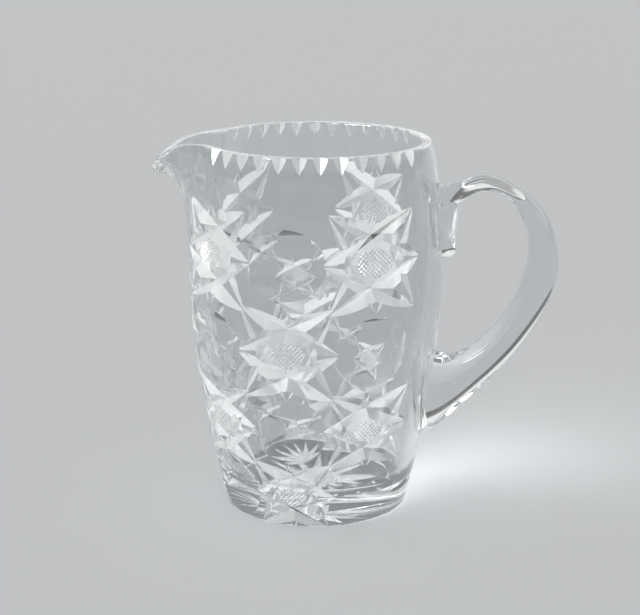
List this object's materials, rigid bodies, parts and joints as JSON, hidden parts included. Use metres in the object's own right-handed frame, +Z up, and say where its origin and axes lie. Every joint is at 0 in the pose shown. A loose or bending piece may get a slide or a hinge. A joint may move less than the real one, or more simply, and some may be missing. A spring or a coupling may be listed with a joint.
{
  "type": "cut glass jug",
  "caption": "Clear cut glass jug with a pulled pouring lip, a toothed rim, walls cut with stars and round hollows, and an applied loop handle.",
  "frame": {"origin": "centre of the foot, on the surface that the jug stands on", "axes": "+Z up, +X towards the handle, -X towards the pouring lip, Y across"},
  "size_m": [0.2066, 0.1294, 0.19],
  "materials": {
    "cut_glass": "clear polished crystal with wheel cutting",
    "handle_glass": "clear fire polished crystal"
  },
  "bodies": {
    "root": {"jug_body": "cut_glass", "handle": "handle_glass"}
  },
  "joints": []
}
